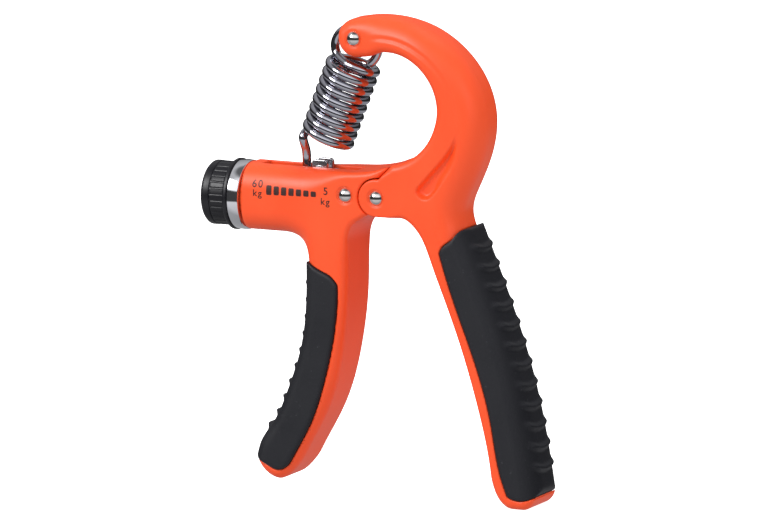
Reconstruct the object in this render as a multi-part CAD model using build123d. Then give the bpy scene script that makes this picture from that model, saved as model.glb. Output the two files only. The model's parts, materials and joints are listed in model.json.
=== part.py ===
from build123d import *
import math
import os

# An adjustable hand grip strengthener: two moulded arms on one pivot, rubber over the handles,
# and an extension spring from a hook-shaped arm to a nut that a knob moves along a lead screw.
# Millimetres. +Z is up the object, +X runs from the knob towards the rear arm, and Y is the
# thickness. Shapes are drawn about the main pivot, and place() moves them to the part's frame,
# whose origin is the middle of the lowest level of the object.

# Frame
PIVOT_X = 2.9
PIVOT_Z = 94.5

# Arms
HALF_THICK = 10.0           # half the thickness of both mouldings
HOOK_AT = (-9.0, 48.9)      # rivet that the spring hangs on
HOOK_ROUND = 6.1            # radius of the hook's end
HOOK_HALF_THICK = 7.0
HOOK_SLOT_HALF = 1.9        # half the slot for the spring's loop
ARCH_CENTRE = (2.4, 27.9)   # centre of the arch's inner curve
ARCH_RADIUS = 17.4
RECESS_DEPTH = 1.6          # teardrop recess on both faces of the arch

# Main pivot
EAR_RADIUS = 5.9
POCKET_RADIUS = 6.25
TONGUE_RADIUS = 5.8
TONGUE_HALF = 3.7
EAR_GAP_HALF = 4.1
WASHER_THICK = 0.3
WASHER_RADIUS = 4.8
BUSH_RADIUS = 2.8

# Rivets: a headed pin pressed into a headed tube
HEAD_RADIUS = 2.4
HEAD_HEIGHT = 1.4
SEAT_RADIUS = 2.8
SEAT_DEPTH = 0.4
TUBE_RADIUS = 2.0
PIN_RADIUS = 1.2
THIN_TUBE_RADIUS = 1.3
THIN_PIN_RADIUS = 0.8
SLEEVE_RADIUS = 1.7         # sleeve on the hook's rivet
BEARING_AT = (-10.5, 0.2)   # rivet that holds the inner screw bearing

# Barrel and adjuster, on one axis along X
AXIS_Z = -3.6
BARREL_END = -46.2
BARREL_TOP = 7.3
BARREL_BOTTOM = -13.8
BARREL_ROUND = 7.5
CHAMBER_HALF = 4.8
CHAMBER_LOW, CHAMBER_HIGH = -8.5, 2.6
CHAMBER_END = -8.0
SLOT_HALF = 3.0
SLOT_START, SLOT_END = -42.0, -9.3
SCREW_RADIUS = 2.95
SCREW_BORE = 3.0
SCREW_TIP = -13.0
PLUG_LENGTH = 3.2
CLIP_THICK = 0.7
CLIP_RADIUS = 4.3
NECK_RADIUS = 2.2           # the screw's neck, which the clip sits in
THRUST_RADIUS = 5.2
BEARING_START = -17.0
NUT_AT = (-22.4, 5.85)      # cross pin of the nut, with the adjuster at its lightest setting
NUT_PIN_RADIUS = 2.0
NUT_HALF_LENGTH = 4.4
NUT_HALF_WIDTH = 4.55
CHEEK_HALF_LENGTH = 2.7
CHEEK_IN, CHEEK_OUT = 1.6, 2.75

# Knob
KNOB_END = -60.4
KNOB_RADIUS = 10.1
RIB_START, RIB_END = -57.3, -52.3
RIB_COUNT = 32
RIB_HEIGHT = 0.4
FLANGE_RADIUS = 11.2
FLANGE_END = -50.8
RING_RADIUS = 10.9
RING_BORE = 8.0
RING_END = -46.9
HEX_FLATS = 10.0
HEX_START, HEX_END = -56.0, -52.0
CAP_RADIUS = 7.4
CAP_STEM_RADIUS = 6.0
CAP_DEPTH = 1.2
RIM_ROUND = 1.2

# Spring
WIRE = 1.4                  # wire radius
COIL_RADIUS = 7.3
COIL_TOP = (-11.9, 39.9)    # ends of the coil's centreline
COIL_BOTTOM = (-21.8, 13.7)
COIL_TURNS = 8.5
LOOP_RADIUS = 6.6
LOOP_TILTS = (14, 21, 34)   # how far the spring leans, in degrees, from squeezed to hardest setting
LOOP_SLOT_RADIUS = 8.3
HOOK_BEND = 5.6             # mean radius of the lower hook
HOOK_LEG_TOP = 14.5
RUNNING_GAP = 0.05

# Grips
RUBBER_PROUD = 0.7          # rubber above the faces of the mouldings
CORE_HALF = 8.4             # half thickness of the plastic under the rubber
PLASTIC_UNDER = 3.4         # rubber thickness behind the fingers and the palm
GRIP_RIB_RADIUS = 1.2
GRIP_RIB_HALF = 7.0
REAR_RIBS, FRONT_RIBS = 12, 10


def slab(face, half, middle=0.0):
    """A sketch drawn in X and Z, thickened by half each way about the plane Y = middle."""
    return Pos(0, middle, 0) * extrude(Plane.XZ * face, amount=half, both=True)


def region(*runs):
    """The face inside a closed run of lines and curves."""
    return make_face(Wire([edge for run in runs for edge in run.edges()]))


def rod(at, radius, low, high):
    """A cylinder along Y from low to high, at a point given in X and Z."""
    length = high - low
    turned = Rot(90, 0, 0) * Cylinder(radius, length)
    return Pos(at[0], (low + high) / 2, at[1]) * turned


def shaft(radius, low, high):
    """A cylinder along the screw's axis, from X = low to X = high."""
    turned = Rot(0, 90, 0) * Cylinder(radius, high - low)
    return Pos((low + high) / 2, 0, AXIS_Z) * turned


def block(x_low, x_high, half_y, z_low, z_high):
    """A block across the plane Y = 0."""
    size = Box(x_high - x_low, 2 * half_y, z_high - z_low)
    return Pos((x_low + x_high) / 2, 0, (z_low + z_high) / 2) * size


def loop_centre(tilt):
    """The middle of the spring's top loop when the spring leans by tilt degrees."""
    drop = LOOP_RADIUS - WIRE - SLEEVE_RADIUS - RUNNING_GAP
    return on_circle(HOOK_AT, drop, -90 - tilt)


def on_circle(centre, radius, degrees):
    angle = math.radians(degrees)
    return (centre[0] + radius * math.cos(angle), centre[1] + radius * math.sin(angle))


# Outlines, in X and Z about the main pivot

CROWN = [(-1.2, 56.2), (10.9, 54.6), (24.3, 47.2), (33.3, 34.8), (35.4, 22.8), (33.0, 11.6),
         (29.5, 3.4)]
REAR_BACK = [(27.4, -3.5), (28.7, -9.0), (36.4, -25.7), (43.4, -44.1), (48.7, -62.3),
             (52.4, -80.6), (53.5, -89.0)]
REAR_FRONT = [(7.5, -5.9), (12.6, -8.6), (17.9, -17.8), (28.2, -43.5), (35.0, -65.3),
              (39.2, -86.0)]
FRONT_INNER = [(-10.2, -15.0), (-10.4, -32.0), (-12.2, -48.5), (-17.5, -68.0), (-26.1, -84.2)]
FRONT_OUTER = [(-39.6, -79.5), (-34.8, -71.5), (-30.7, -62.0), (-27.2, -51.0), (-25.2, -40.0),
               (-24.2, -28.0), (-24.4, -20.0)]
NOSE = (4.3, 10.4)          # tip of the front arm, against the arch
REAR_GRIP_BACK = [(29.5, -6.8), (37.5, -25.7), (44.4, -44.1), (49.7, -62.3), (53.4, -80.6),
                  (54.6, -88.0)]
REAR_GRIP_FACE = [(45.0, -90.4), (42.8, -84.5), (39.4, -68.0), (32.4, -45.0), (25.4, -26.9),
                  (21.8, -16.0)]
FRONT_GRIP_FRONT = [(-41.6, -83.2), (-36.1, -73.1), (-32.1, -64.8), (-27.0, -49.9), (-24.9, -31.5),
                    (-24.9, -21.9)]
FRONT_GRIP_FACE = [(-13.1, -28.3), (-12.9, -31.1), (-13.9, -42.2), (-17.3, -58.2), (-21.7, -71.1),
                   (-28.8, -84.3)]


def rear_outline():
    """The rear arm seen from the front: hook, arch, pivot ear and handle."""
    hook_top = on_circle(HOOK_AT, HOOK_ROUND, 100)
    hook_low = on_circle(HOOK_AT, HOOK_ROUND, 280)
    hook_tip = on_circle(HOOK_AT, HOOK_ROUND, 190)
    arch_start = on_circle(ARCH_CENTRE, ARCH_RADIUS, 92)
    arch_end = on_circle(ARCH_CENTRE, ARCH_RADIUS, -81.7)
    ear_top = on_circle((0, 0), EAR_RADIUS, 82)
    ear_low = (0, -EAR_RADIUS)
    foot_end, foot_start = (49.5, -PIVOT_Z), (46.0, -PIVOT_Z)
    outer = Spline(hook_top, *CROWN, *REAR_BACK, tangents=[(1, 0.17), (0.1, -1)])
    corner = ThreePointArc(REAR_BACK[-1], (52.5, -92.6), foot_end)
    foot = Line(foot_end, foot_start)
    heel = Spline(foot_start, (41.3, -91.6), REAR_FRONT[-1], tangents=[(-1, 0), (-0.1, 1)])
    front = Spline(*reversed(REAR_FRONT), tangents=[(-0.1, 1), (-1, 0)])
    web = Line(REAR_FRONT[0], ear_low)
    ear = ThreePointArc(ear_low, (-EAR_RADIUS, 0), ear_top)
    stop = Line(ear_top, arch_end)
    arch = ThreePointArc(arch_end, on_circle(ARCH_CENTRE, ARCH_RADIUS, 0), arch_start)
    under = Spline(arch_start, (-4.0, 43.6), hook_low, tangents=[(-1, 0.03), (-1, -0.17)])
    tip = ThreePointArc(hook_low, hook_tip, hook_top)
    return region(outer, corner, foot, heel, front, web, ear, stop, arch, under, tip)


def front_outline():
    """The front arm seen from the front: barrel, pivot tongue and curved handle."""
    top = Line((BARREL_END, BARREL_TOP), (-12.0, BARREL_TOP))
    shoulder = Spline((-12.0, BARREL_TOP), (-4.0, 7.9), NOSE, tangents=[(1, 0), (1, 0.4)])
    nose = Polyline(NOSE, (0.2, 5.7), (-2.4, -5.8))
    armpit = Spline((-2.4, -5.8), (-7.6, -7.6), FRONT_INNER[0], tangents=[(-1, -0.1), (0, -1)])
    inner = Spline(*FRONT_INNER, tangents=[(0, -1), (-0.45, -0.9)])
    toe = Spline(FRONT_INNER[-1], (-29.7, -88.8), (-34.9, -91.4), (-40.2, -88.0), (-41.8, -83.7),
                 FRONT_OUTER[0], tangents=[(-0.5, -0.85), (0.5, 0.85)])
    outer = Spline(*FRONT_OUTER, (-27.3, -15.6), tangents=[(0.5, 0.85), (-0.6, 0.6)])
    corner = Line((-27.3, -15.6), (-29.3, BARREL_BOTTOM))
    bottom = Line((-29.3, BARREL_BOTTOM), (BARREL_END, BARREL_BOTTOM))
    end = Line((BARREL_END, BARREL_BOTTOM), (BARREL_END, BARREL_TOP))
    return region(top, shoulder, nose, armpit, inner, toe, outer, corner, bottom, end)


def seats(at, half):
    """Shallow seats for a rivet's two heads, in faces at half each side."""
    front = rod(at, SEAT_RADIUS, -half - 1, -half + SEAT_DEPTH)
    back = rod(at, SEAT_RADIUS, half - SEAT_DEPTH, half + 1)
    return front + back


# Mouldings

def hook_plan():
    """What the rear arm is cut to, seen from above: the upper arch thins towards the hook."""
    thin, thick = HOOK_HALF_THICK, HALF_THICK
    corners = [(-20, -thin), (-2, -thin), (17, -thick), (60, -thick),
               (60, thick), (17, thick), (-2, thin), (-20, thin)]
    upper = extrude(make_face(Polyline(*corners, close=True)), amount=60)
    lower = Box(120, 2 * thick, 140, align=(Align.CENTER, Align.CENTER, Align.MAX))
    return Pos(0, 0, ARCH_CENTRE[1]) * (upper + lower)


def teardrop():
    """The outline of the recess on each face of the arch."""
    tail, heel = (27.4, 22.6), (13.6, 3.4)
    inner = Spline(tail, (24.6, 16.0), (19.4, 9.6), heel, tangents=[(-0.2, -1), (-0.7, -0.8)])
    outer = Spline(heel, (16.4, 0.6), (20.6, 3.8), (25.8, 11.6), tail, tangents=[(0, -1), (0.05, 1)])
    return region(inner, outer)


def handle_core(side, reach):
    """The plastic under a grip: everything from one side line to well beyond the handle."""
    start, end = side[0], side[-1]
    line = Spline(*side)
    turn = Line(end, (end[0] + reach, end[1]))
    back = Line((end[0] + reach, end[1]), (start[0] + reach, start[1]))
    close = Line((start[0] + reach, start[1]), start)
    return slab(region(line, turn, back, close), CORE_HALF)


def ribs(side, first, last, count, inward):
    """Round ribs across a grip, evenly spaced along its side line."""
    line = Spline(*side)
    spots = [line @ (first + (last - first) * i / (count - 1)) for i in range(count)]
    centres = [(spot.X + inward, spot.Y) for spot in spots]
    return [rod(at, GRIP_RIB_RADIUS, -GRIP_RIB_HALF, GRIP_RIB_HALF) for at in centres]


def moved(side, across, first, last):
    """A side line moved across, with its two ends also moved up by first and last."""
    rises = [first] + [0] * (len(side) - 2) + [last]
    return [(x + across, z + rise) for (x, z), rise in zip(side, rises)]


def rear_grip():
    """Rubber over the back and both faces of the rear handle."""
    back, face = REAR_GRIP_BACK, REAR_GRIP_FACE
    low = Spline(back[-1], (51.0, -90.9), face[0], tangents=[(-0.1, -1), (-0.8, 0.5)])
    crest = Spline(face[-1], (23.0, -13.0), back[0], tangents=[(-0.1, 1), (0.85, 0.6)])
    skin = slab(region(Spline(*back), low, Spline(*face), crest), HALF_THICK + RUBBER_PROUD)
    hollow = handle_core(moved(back, -PLASTIC_UNDER, 12, -6), -60)
    return (skin - hollow).fuse(*ribs(back, 0.12, 0.93, REAR_RIBS, -0.6))


def front_grip():
    """Rubber over the front and both faces of the front handle."""
    front, face = FRONT_GRIP_FRONT, FRONT_GRIP_FACE
    crest = Spline(front[-1], (-18.5, -24.3), face[0], tangents=[(1, 0.1), (0.6, -1)])
    side = Spline(*face, tangents=[(0.3, -1), (-0.5, -0.9)])
    low = Spline(face[-1], (-33.4, -88.2), front[0], tangents=[(-0.5, -0.9), (0, 1)])
    skin = slab(region(Spline(*front), crest, side, low), HALF_THICK + RUBBER_PROUD)
    hollow = handle_core(moved(front, PLASTIC_UNDER, -6, 6), 60)
    return (skin - hollow).fuse(*ribs(front, 0.12, 0.88, FRONT_RIBS, 0.6))


def rear_arm(grip):
    """Arch, hook, two pivot ears and handle, in one moulding."""
    arm = slab(rear_outline(), HALF_THICK) & hook_plan()
    tongue_gap = rod((0, 0), POCKET_RADIUS - 0.15, -EAR_GAP_HALF, EAR_GAP_HALF)
    for face in (-1, 1):
        arm -= slab(teardrop(), RECESS_DEPTH, face * HALF_THICK)
    arm -= tongue_gap + seats((0, 0), HALF_THICK) + seats(HOOK_AT, HOOK_HALF_THICK)
    for tilt in LOOP_TILTS:
        arm -= rod(loop_centre(tilt), LOOP_SLOT_RADIUS, -HOOK_SLOT_HALF, HOOK_SLOT_HALF)
    arm -= rod((0, 0), TUBE_RADIUS, -HALF_THICK, HALF_THICK)
    arm -= rod(HOOK_AT, THIN_TUBE_RADIUS, -HALF_THICK, HALF_THICK)
    return arm - grip


def barrel_form():
    """What the front arm is cut to: the barrel's section is round at its corners."""
    centre = (BARREL_TOP + BARREL_BOTTOM) / 2
    section = RectangleRounded(2 * HALF_THICK, BARREL_TOP - BARREL_BOTTOM, BARREL_ROUND)
    barrel = Pos(BARREL_END, 0, centre) * extrude(Plane.YZ * section, amount=30)
    pivot_end = block(BARREL_END + 20, 20, HALF_THICK, BARREL_BOTTOM - 1, 20)
    handle = block(BARREL_END, 20, HALF_THICK, -PIVOT_Z, BARREL_BOTTOM)
    return barrel + pivot_end + handle


def barrel_hollow():
    """The nut's chamber, open at the knob's end, and the slot along the top."""
    chamber = block(BARREL_END - 1, CHAMBER_END, CHAMBER_HALF, CHAMBER_LOW, CHAMBER_HIGH)
    slot = block(SLOT_START, SLOT_END, SLOT_HALF, CHAMBER_HIGH - 1, BARREL_TOP + 5)
    return chamber + slot


def front_arm(grip):
    """Barrel, pivot tongue and curved handle, in one moulding."""
    arm = (slab(front_outline(), HALF_THICK) & barrel_form()) - rod((0, 0), POCKET_RADIUS, -11, 11)
    neck = slab(make_face(Polyline((-7, 4), (0, 4), (0, -4), (-7, -4), close=True)), TONGUE_HALF)
    arm = arm + neck + rod((0, 0), TONGUE_RADIUS, -TONGUE_HALF, TONGUE_HALF)
    arm -= barrel_hollow() + seats(BEARING_AT, HALF_THICK)
    arm -= rod(BEARING_AT, THIN_TUBE_RADIUS, -HALF_THICK, HALF_THICK)
    arm -= rod((0, 0), BUSH_RADIUS, -TONGUE_HALF, TONGUE_HALF)
    return arm - grip


# Rivets and pivot parts

def dome(at, base, side):
    """A rivet's domed head, standing on a face at Y = base, out towards side."""
    ball_radius = (HEAD_RADIUS ** 2 + HEAD_HEIGHT ** 2) / (2 * HEAD_HEIGHT)
    middle = base + side * (HEAD_HEIGHT - ball_radius)
    ball = Pos(at[0], middle, at[1]) * Sphere(ball_radius)
    low, high = sorted((base, base + side * 2 * HEAD_HEIGHT))
    return ball & rod(at, HEAD_RADIUS, low, high)


def rivet_pin(at, half, radius):
    """Front half of a rivet: a domed head and a solid pin."""
    base = -half + SEAT_DEPTH
    return dome(at, base, -1) + rod(at, radius, base, half - 2)


def rivet_tube(at, half, radius, bore):
    """Back half of a rivet: a domed head and the tube that the pin is pressed into."""
    base = half - SEAT_DEPTH
    tube = rod(at, radius, -base, base) - rod(at, bore, -base, half - 2)
    return dome(at, base, 1) + tube


def pivot_bush():
    """Metal sleeve in the tongue, which turns on the main rivet."""
    half = TONGUE_HALF
    bore = rod((0, 0), TUBE_RADIUS + RUNNING_GAP, -half, half)
    return rod((0, 0), BUSH_RADIUS, -half, half) - bore


def pivot_washers():
    """A thin washer against each ear."""
    pair = []
    for side in (-1, 1):
        low, high = sorted((side * (EAR_GAP_HALF - WASHER_THICK), side * EAR_GAP_HALF))
        pair.append(rod((0, 0), WASHER_RADIUS, low, high) - rod((0, 0), TUBE_RADIUS, low, high))
    return Compound(pair)


# Adjuster

def knob():
    """Ribbed knob with a flange, and a pocket for the screw's hexagonal head."""
    body = shaft(KNOB_RADIUS, KNOB_END, FLANGE_END)
    rim = body.edges().filter_by(GeomType.CIRCLE).sort_by(Axis.X)[0]
    body = fillet(rim, RIM_ROUND)
    middle, length = (RIB_START + RIB_END) / 2, RIB_END - RIB_START
    rib = Pos(middle, 0, KNOB_RADIUS) * Box(length, 0.9, 2 * RIB_HEIGHT)
    turns = [Rot(360 / RIB_COUNT * i, 0, 0) * rib for i in range(RIB_COUNT)]
    body = body.fuse(*[Pos(0, 0, AXIS_Z) * turned for turned in turns])
    body += shaft(FLANGE_RADIUS, RIB_END, FLANGE_END) + shaft(RING_BORE, FLANGE_END, RING_END)
    body -= hex_head() + shaft(SCREW_RADIUS, HEX_START, RING_END)
    body -= shaft(CAP_RADIUS, KNOB_END - 1, KNOB_END + CAP_DEPTH)
    return body - shaft(CAP_STEM_RADIUS, KNOB_END, HEX_START)


def hex_head():
    flats = RegularPolygon(HEX_FLATS / 2, 6, major_radius=False)
    return Pos(HEX_START, 0, AXIS_Z) * extrude(Plane.YZ * flats, amount=HEX_END - HEX_START)


def knob_cap():
    """Round cover that closes the knob's pocket."""
    disc = shaft(CAP_RADIUS, KNOB_END + 0.2, KNOB_END + CAP_DEPTH)
    return disc + shaft(CAP_STEM_RADIUS, KNOB_END + CAP_DEPTH, HEX_START)


def trim_ring():
    ring = shaft(RING_RADIUS, FLANGE_END, RING_END)
    return ring - shaft(RING_BORE, FLANGE_END, RING_END)


def lead_screw():
    """M6 screw with 1 mm pitch, drawn at its outer diameter, with a neck for the clip."""
    clip_at = BARREL_END + PLUG_LENGTH
    neck = shaft(SCREW_RADIUS, clip_at + 0.1, clip_at + 0.1 + CLIP_THICK)
    neck -= shaft(NECK_RADIUS, clip_at, clip_at + 1)
    return hex_head() + (shaft(SCREW_RADIUS, HEX_END, SCREW_TIP) - neck)


def thrust_washer():
    """Washer between the knob's hub and the barrel's plug."""
    low, high = RING_END, BARREL_END - 0.1
    return shaft(THRUST_RADIUS, low, high) - shaft(SCREW_RADIUS, low, high)


def retaining_clip():
    """Open ring in the screw's neck, which stops the screw from pulling out."""
    low = BARREL_END + PLUG_LENGTH + 0.1
    high = low + CLIP_THICK
    ring = shaft(CLIP_RADIUS, low, high) - shaft(NECK_RADIUS, low, high)
    return ring - block(low, high, 1.6, AXIS_Z - 6, AXIS_Z)


def barrel_plug():
    """Metal bearing that closes the chamber's open end."""
    plug = block(BARREL_END, BARREL_END + PLUG_LENGTH, CHAMBER_HALF, CHAMBER_LOW, CHAMBER_HIGH)
    return plug - shaft(SCREW_BORE, BARREL_END, BARREL_END + PLUG_LENGTH)


def end_bearing():
    """Block that holds the screw's inner end, pinned by a rivet."""
    body = block(BEARING_START, CHAMBER_END, CHAMBER_HALF, CHAMBER_LOW, CHAMBER_HIGH)
    body -= shaft(SCREW_BORE, BEARING_START, SCREW_TIP + 0.3)
    return body - rod(BEARING_AT, THIN_TUBE_RADIUS, -CHAMBER_HALF, CHAMBER_HALF)


def carriage_nut():
    """Square nut on the screw with two cheeks that reach up into the slot."""
    x = NUT_AT[0]
    low, top = CHAMBER_LOW + 0.4, 0.7
    body = block(x - NUT_HALF_LENGTH, x + NUT_HALF_LENGTH, NUT_HALF_WIDTH, low, top)
    body -= shaft(SCREW_BORE, x - 6, x + 6)
    for side in (-1, 1):
        middle, width = side * (CHEEK_IN + CHEEK_OUT) / 2, CHEEK_OUT - CHEEK_IN
        cheek = Box(2 * CHEEK_HALF_LENGTH, width, 10.4, align=(Align.CENTER, Align.CENTER, Align.MIN))
        body += Pos(x, middle, top - 1.2) * cheek
    return body - rod(NUT_AT, NUT_PIN_RADIUS, -CHEEK_OUT, CHEEK_OUT)


# Spring

def spring_coil():
    """Close-wound coil, right-handed, from the loop's side down to the hook's side."""
    (x0, z0), (x1, z1) = COIL_TOP, COIL_BOTTOM
    height = math.dist(COIL_TOP, COIL_BOTTOM)
    path = Helix(height / COIL_TURNS, height, COIL_RADIUS)
    start = Plane(path @ 0, z_dir=path % 0)
    wire = sweep(start * Circle(WIRE), path, is_frenet=True)
    stand = Plane(origin=(x1, 0, z1), x_dir=(z0 - z1, 0, x1 - x0), z_dir=(x0 - x1, 0, z0 - z1))
    return stand * Rot(0, 0, 180) * wire


def spring_loop():
    """The loop at the spring's top end, which hangs on the sleeve."""
    x, z = loop_centre(LOOP_TILTS[1])
    return Pos(x, 0, z) * Rot(90, 0, 0) * Torus(LOOP_RADIUS, WIRE)


def spring_hook():
    """The leg below the coil and the bend round the nut's cross pin."""
    x, level = NUT_AT[0], NUT_AT[1] - NUT_PIN_RADIUS - RUNNING_GAP - WIRE + HOOK_BEND
    leg = rod_up((x - HOOK_BEND, level), HOOK_LEG_TOP)
    ring = Pos(x, 0, level) * Rot(90, 0, 0) * Torus(HOOK_BEND, WIRE)
    return leg + (ring & block(x - 10, x + 10, 5, level - 10, level))


def rod_up(foot, top):
    """A straight length of the spring's wire, upwards from foot."""
    length = top - foot[1]
    return Pos(foot[0], 0, foot[1] + length / 2) * Cylinder(WIRE, length)


def hook_sleeve():
    """Sleeve on the hook's rivet, which the loop bears on."""
    half = HOOK_SLOT_HALF - 0.1
    bore = rod(HOOK_AT, THIN_TUBE_RADIUS + RUNNING_GAP, -half, half)
    return rod(HOOK_AT, SLEEVE_RADIUS, -half, half) - bore


def parts():
    """Every piece, by name, about the main pivot."""
    rear_rubber, front_rubber = rear_grip(), front_grip()
    return {
        "rear_arm": rear_arm(rear_rubber),
        "rear_grip": rear_rubber,
        "hook_rivet_pin": rivet_pin(HOOK_AT, HOOK_HALF_THICK, THIN_PIN_RADIUS),
        "hook_rivet_tube": rivet_tube(HOOK_AT, HOOK_HALF_THICK, THIN_TUBE_RADIUS, THIN_PIN_RADIUS),
        "hook_sleeve": hook_sleeve(),
        "pivot_rivet_pin": rivet_pin((0, 0), HALF_THICK, PIN_RADIUS),
        "pivot_rivet_tube": rivet_tube((0, 0), HALF_THICK, TUBE_RADIUS, PIN_RADIUS),
        "pivot_washers": pivot_washers(),
        "pivot_bush": pivot_bush(),
        "front_arm": front_arm(front_rubber),
        "front_grip": front_rubber,
        "bearing_rivet_pin": rivet_pin(BEARING_AT, HALF_THICK, THIN_PIN_RADIUS),
        "bearing_rivet_tube": rivet_tube(BEARING_AT, HALF_THICK, THIN_TUBE_RADIUS, THIN_PIN_RADIUS),
        "end_bearing": end_bearing(),
        "barrel_plug": barrel_plug(),
        "knob": knob(),
        "knob_cap": knob_cap(),
        "trim_ring": trim_ring(),
        "thrust_washer": thrust_washer(),
        "lead_screw": lead_screw(),
        "retaining_clip": retaining_clip(),
        "carriage_nut": carriage_nut(),
        "nut_pin": rod(NUT_AT, NUT_PIN_RADIUS, -CHEEK_OUT, CHEEK_OUT),
        "spring_loop": spring_loop(),
        "spring_coil": spring_coil(),
        "spring_hook": spring_hook(),
    }


def main():
    os.makedirs("parts", exist_ok=True)
    for name, solid in parts().items():
        export_step(Pos(PIVOT_X, 0, PIVOT_Z) * solid, f"parts/{name}.step")


main()
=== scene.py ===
import json
import math

import bmesh
import bpy
import numpy as np
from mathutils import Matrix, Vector


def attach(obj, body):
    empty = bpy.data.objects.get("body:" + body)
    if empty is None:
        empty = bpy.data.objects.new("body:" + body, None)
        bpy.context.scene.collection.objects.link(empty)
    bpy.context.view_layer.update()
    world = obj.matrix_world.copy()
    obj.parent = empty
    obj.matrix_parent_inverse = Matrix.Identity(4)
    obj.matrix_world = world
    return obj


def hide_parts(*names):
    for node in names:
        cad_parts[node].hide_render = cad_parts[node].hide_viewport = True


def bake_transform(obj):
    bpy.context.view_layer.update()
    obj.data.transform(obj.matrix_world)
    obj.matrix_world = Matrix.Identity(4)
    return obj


# Looks for an adjustable hand grip strengthener. Shapes are worked out in millimetres about the
# main pivot, with X to the right, Y to the back and Z up, and finish_mesh() moves them to the
# frame in metres. The two mouldings and their grips are drawn as fields: a field is negative
# inside a shape, and skin() makes a mesh of the surface where it is zero.

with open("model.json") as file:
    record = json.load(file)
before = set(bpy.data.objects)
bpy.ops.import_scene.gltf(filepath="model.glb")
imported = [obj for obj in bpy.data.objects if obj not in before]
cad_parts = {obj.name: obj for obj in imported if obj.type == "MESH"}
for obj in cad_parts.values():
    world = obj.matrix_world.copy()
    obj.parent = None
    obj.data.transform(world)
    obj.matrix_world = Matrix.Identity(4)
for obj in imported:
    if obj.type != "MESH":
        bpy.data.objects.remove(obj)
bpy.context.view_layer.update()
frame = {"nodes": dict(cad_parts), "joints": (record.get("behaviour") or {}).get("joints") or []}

MM = 0.001
HINGES = {joint["name"]: joint for joint in frame["joints"]}
PIVOT = np.array(HINGES["grip_hinge"]["pos_m"]) / MM

# Mouldings
HALF_THICK = 10.0
HOOK_AT = (-9.0, 48.9)
HOOK_ROUND = 6.1
HOOK_HALF_THICK = 7.0
HOOK_SLOT_HALF = 1.9
ARCH_CENTRE = (2.4, 27.9)
ARCH_RADIUS = 17.4
FOOT = -PIVOT[2]
EAR_RADIUS = 5.9
POCKET_RADIUS = 6.25
TONGUE_RADIUS = 5.8
TONGUE_HALF = 3.7
EAR_GAP_HALF = 4.1
RECESS_DEPTH = 2.0
SEAM = 0.12                 # gap between rubber and plastic

# Rivets
PIVOT_AT = (0.0, 0.0)
BEARING_AT = (-10.5, 0.2)
HEAD_RADIUS = 2.35
HEAD_HEIGHT = 1.4
SEAT_RADIUS = 2.8
SEAT_DEPTH = 0.4

# Barrel and adjuster
AXIS_Z = -3.6
BARREL_END = -46.2
BARREL_TOP = 7.3
BARREL_BOTTOM = -13.8
BARREL_ROUND = 7.8
CHAMBER_HALF = 4.8
CHAMBER_LOW, CHAMBER_HIGH = -8.5, 2.6
CHAMBER_END = -8.0
SLOT_HALF = 3.0
SLOT_START, SLOT_END = -42.0, -9.3
NUT_AT = (-22.4, 5.85)
SCREW_RADIUS = 2.95
SCREW_TIP = -13.0
THREAD_PITCH = 1.0
KNOB_END = -60.4
KNOB_RADIUS = 10.1
RIB_START, RIB_END = -57.3, -52.3
RIB_COUNT = 32
FLANGE_RADIUS = 11.2
FLANGE_END = -50.8
RING_RADIUS = 10.9
RING_BORE = 8.0
RING_END = -46.9

# Spring
WIRE = 1.4
COIL_RADIUS = 7.3
COIL_TOP = (-11.9, 39.9)
COIL_BOTTOM = (-21.3, 15.4)
COIL_TURNS = 8.5
COIL_SHARE = 0.72            # part of the coil on the upper piece of wire
HOOK_BEND = 5.6

# Grips
RUBBER_PROUD = 0.7
CORE_HALF = 8.4
PLASTIC_UNDER = 3.4
GRIP_RIM = 1.1

# Mesh cells for the fields
ARM_CELL = 0.5
GRIP_CELL = 0.45
NUT_CELL = 0.22


# Curves

def smooth_run(points, start=None, end=None, gap=0.5):
    """Points along a smooth curve through the given ones, in two or three dimensions."""
    points = np.array(points, float)
    span = np.linalg.norm(np.diff(points, axis=0), axis=1)
    rise = np.diff(points, axis=0) / span[:, None]
    count = len(points)
    matrix, target = np.zeros((count, count)), np.zeros(points.shape)
    for i in range(1, count - 1):
        matrix[i, i - 1 : i + 2] = 1 / span[i - 1], 2 / span[i - 1] + 2 / span[i], 1 / span[i]
        target[i] = 3 * (rise[i - 1] / span[i - 1] + rise[i] / span[i])
    for row, beside, direction, slope in ((0, 1, start, rise[0]), (-1, -2, end, rise[-1])):
        if direction is None:
            matrix[row, row], matrix[row, beside], target[row] = 2, 1, 3 * slope
        else:
            matrix[row, row], target[row] = 1, np.array(direction) / np.linalg.norm(direction)
    slopes = np.linalg.solve(matrix, target)
    run = [points[:1]]
    for i, length in enumerate(span):
        t = np.linspace(0, 1, max(2, math.ceil(length / gap) + 1))[1:, None]
        a, b, ma, mb = points[i], points[i + 1], slopes[i] * length, slopes[i + 1] * length
        bend = t * t * (3 - 2 * t)
        run.append(a + (b - a) * bend + ma * t * (1 - t) ** 2 - mb * t * t * (1 - t))
    return np.vstack(run)


def on_circle(centre, radius, degrees):
    angle = math.radians(degrees)
    return (centre[0] + radius * math.cos(angle), centre[1] + radius * math.sin(angle))


def arc(centre, radius, first, last, gap=0.5):
    count = max(3, math.ceil(abs(math.radians(last - first)) * radius / gap))
    return np.array([on_circle(centre, radius, a) for a in np.linspace(first, last, count)])


def loop(*runs):
    """Runs joined in order and closed."""
    whole = np.vstack([np.array(run, float) for run in runs])
    return np.vstack([whole, whole[:1]])


# Outlines of the mouldings and grips, in X and Z

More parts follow.
